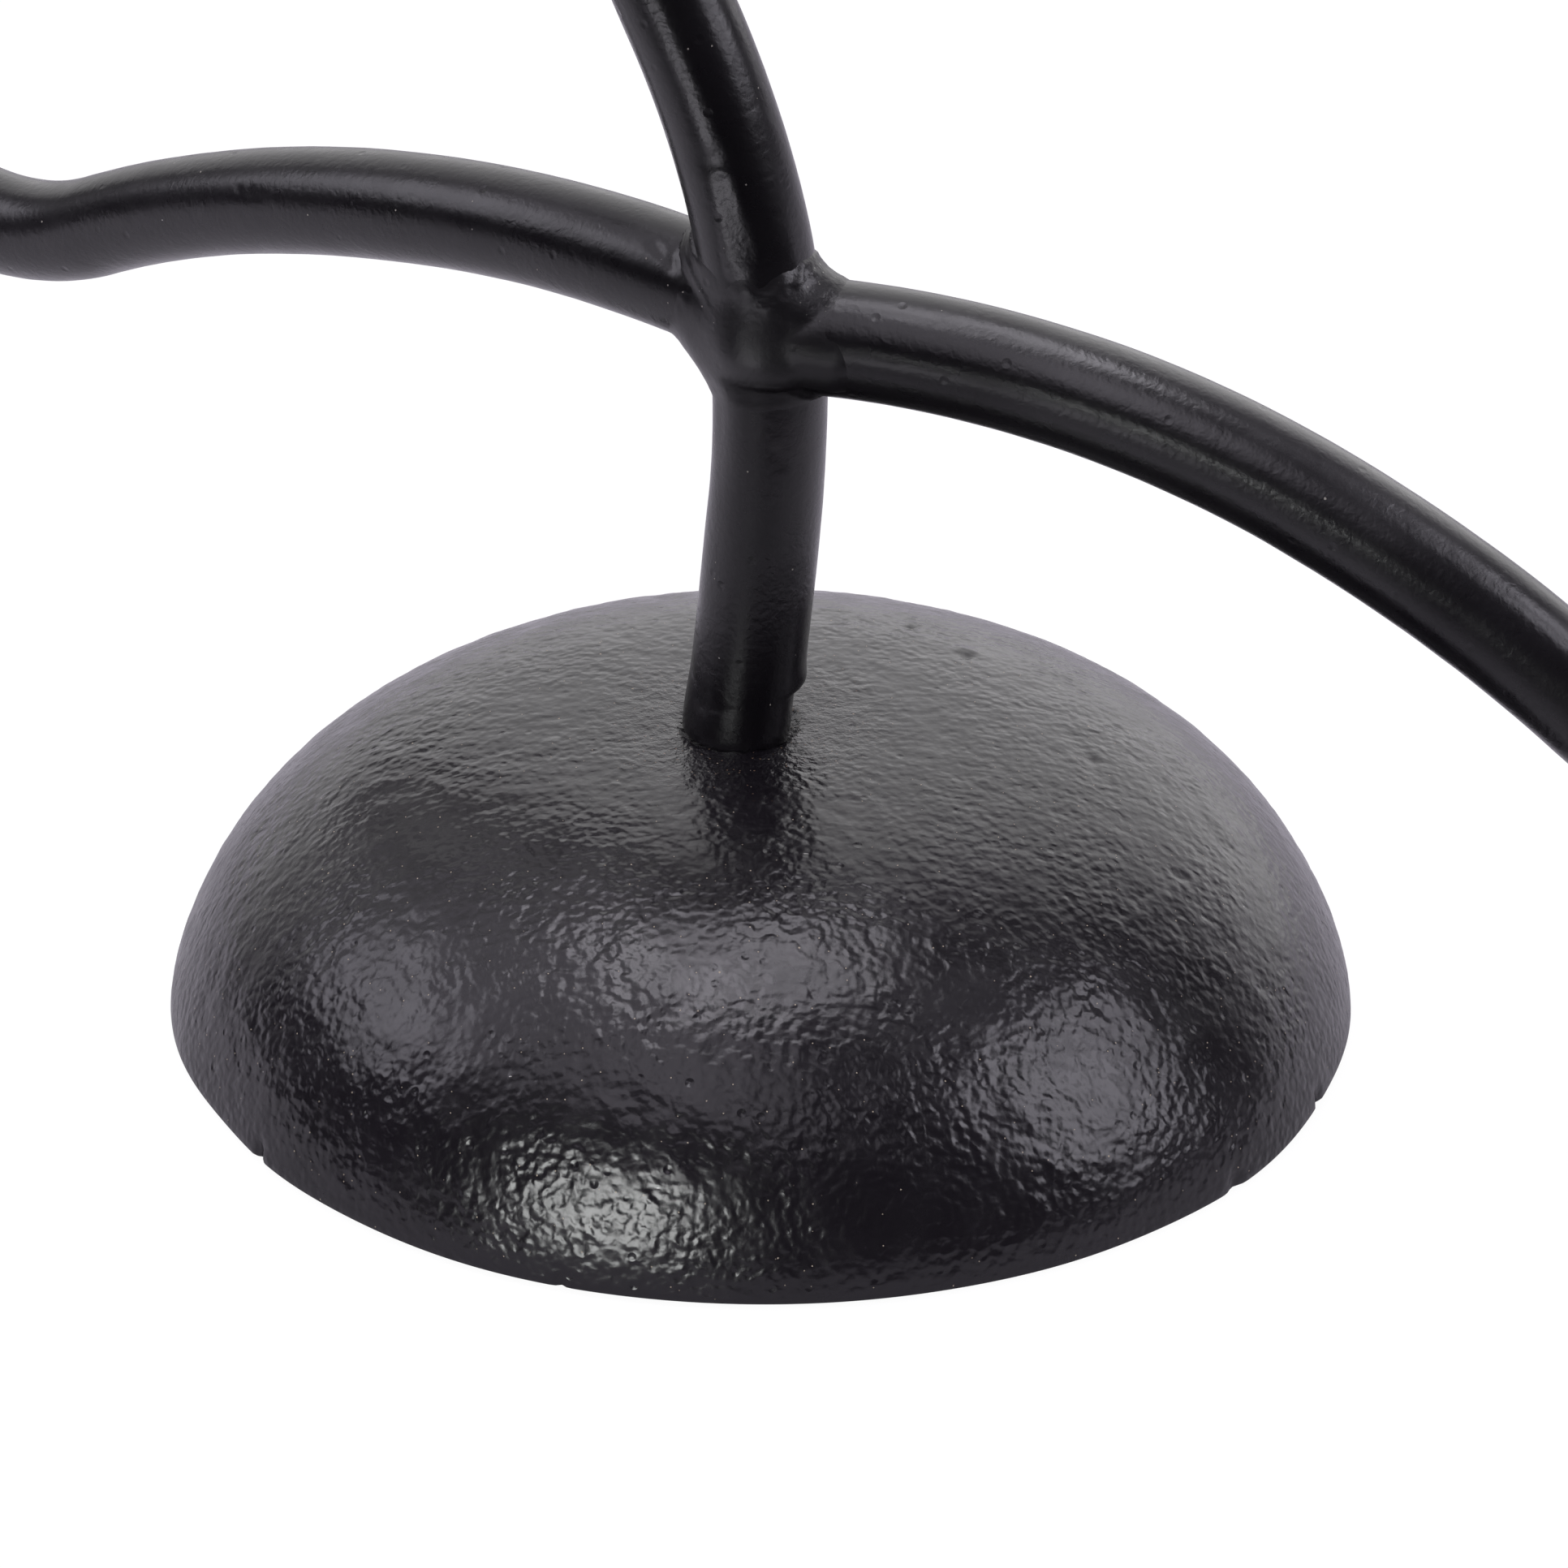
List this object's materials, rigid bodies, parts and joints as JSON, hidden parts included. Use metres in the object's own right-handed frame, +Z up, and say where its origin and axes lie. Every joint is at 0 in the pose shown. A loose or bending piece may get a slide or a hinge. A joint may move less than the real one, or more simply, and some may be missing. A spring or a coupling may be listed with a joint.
{
  "type": "candelabrum",
  "caption": "Freeform candle stand: bent round bars welded at a low knot on a domed cast foot, each bar ending upright in a drip pan and a candle cup.",
  "frame": {"origin": "on the table, under the middle of the round foot", "axes": "+Z up along the stand's height, +X to the viewer's right, -Y towards the viewer"},
  "size_m": [0.4149, 0.2459, 0.5385],
  "materials": {
    "cast_black": "black satin paint over a sand casting",
    "bar_black": "black satin paint over bent steel bar",
    "zinc_steel": "zinc plated",
    "felt": "matt felt"
  },
  "bodies": {
    "root": {"felt_disc": "felt", "foot_dome": "cast_black", "foot_bolt": "zinc_steel", "spring_washer": "zinc_steel", "flat_washer": "zinc_steel", "stem": "bar_black", "right_arm": "bar_black", "left_arm": "bar_black", "right_weld": "bar_black", "left_weld": "bar_black", "stem_pan": "bar_black", "right_pan": "bar_black", "left_pan": "bar_black", "stem_cup": "bar_black", "right_cup": "bar_black", "left_cup": "bar_black", "cup_screws": "zinc_steel"}
  },
  "joints": []
}
